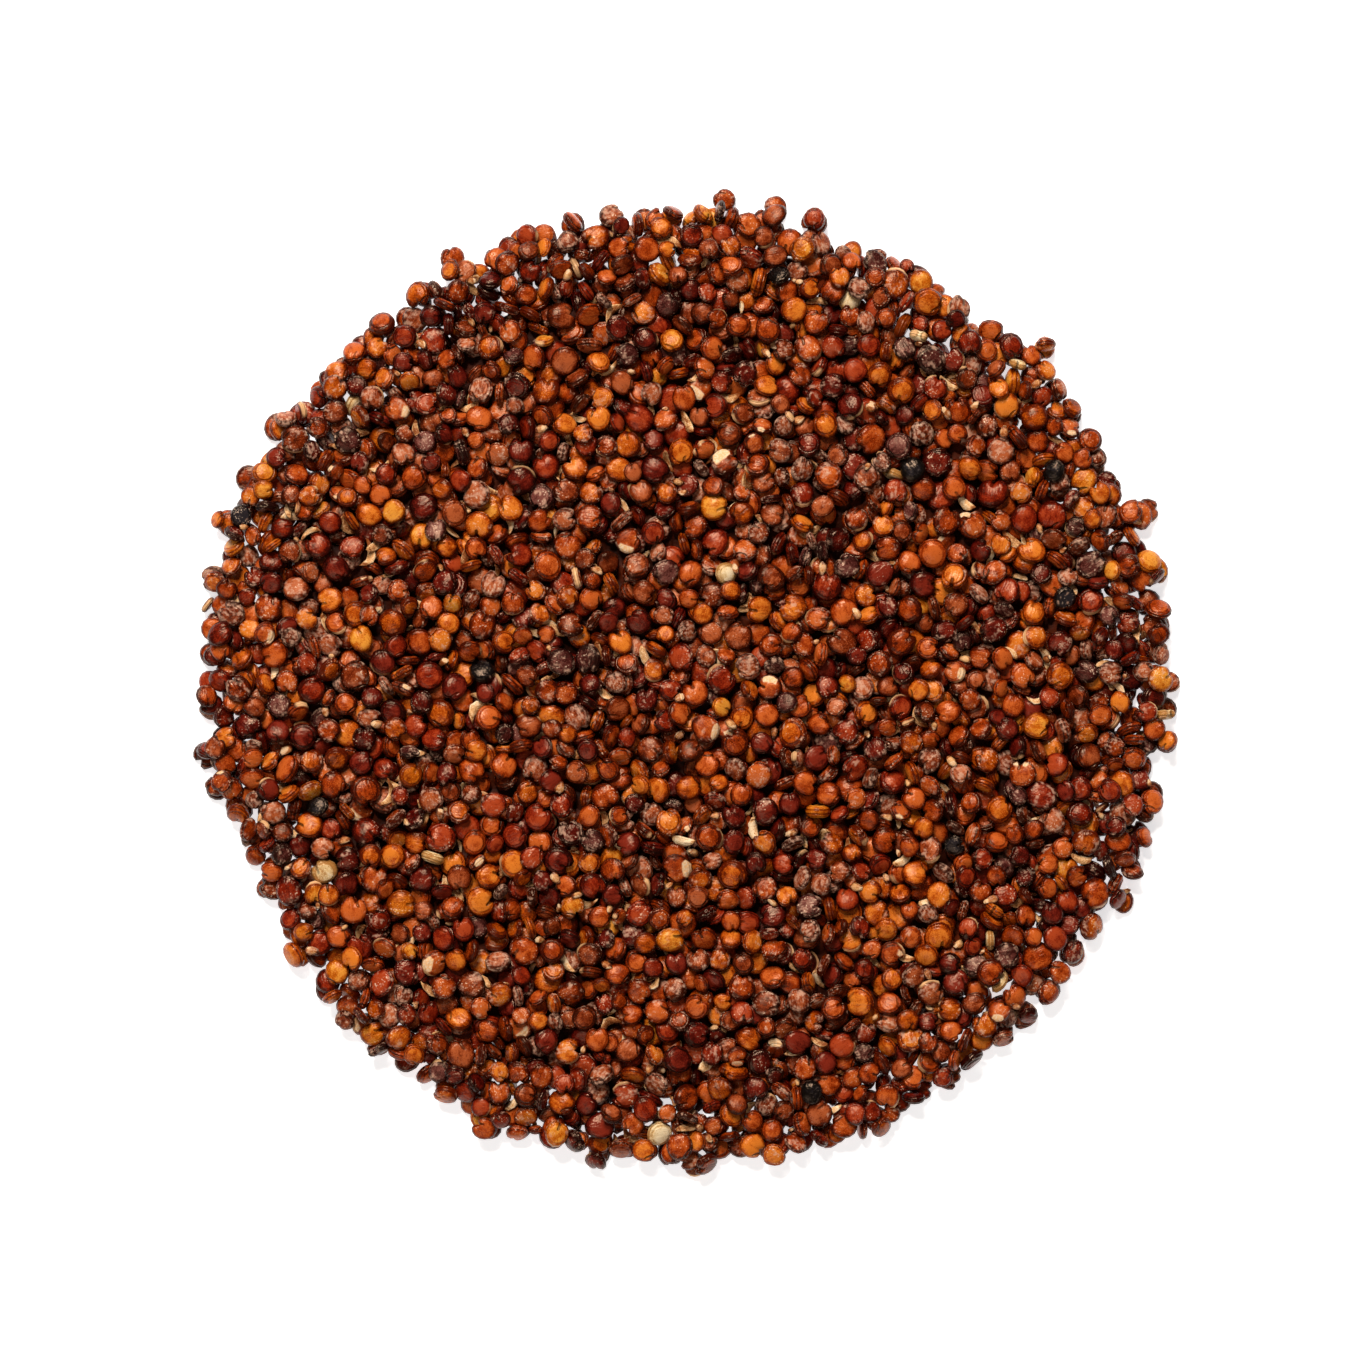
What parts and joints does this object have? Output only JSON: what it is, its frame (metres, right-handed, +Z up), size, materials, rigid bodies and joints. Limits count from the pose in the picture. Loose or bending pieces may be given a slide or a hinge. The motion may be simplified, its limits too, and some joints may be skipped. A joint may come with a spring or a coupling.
{
  "type": "heap of dry red quinoa grains",
  "caption": "Shallow round heap of loose dry red quinoa grains lying on a flat surface, with an uneven scalloped edge and a bumpy, nearly level top.",
  "frame": {"origin": "middle of the heap's bounding box in plan, on its flat underside, where it meets the surface that it lies on", "axes": "+Z up out of the heap, its thin direction; +X to the picture's right and +Y to the picture's top"},
  "size_m": [0.0798, 0.08, 0.0042],
  "materials": {
    "red_seed": "satin red-brown seed coat",
    "amber_seed": "satin amber seed coat",
    "maroon_seed": "satin maroon seed coat",
    "dusty_seed": "dull seed coat with grey-pink flaking skin",
    "cream_seed": "smooth cream seed coat",
    "black_seed": "glossy black seed coat",
    "husk": "dry tan husk flakes and broken bits",
    "heap_core": "shaded seed under the top layers"
  },
  "bodies": {
    "root": {"quinoa_heap": "red_seed"}
  },
  "joints": []
}
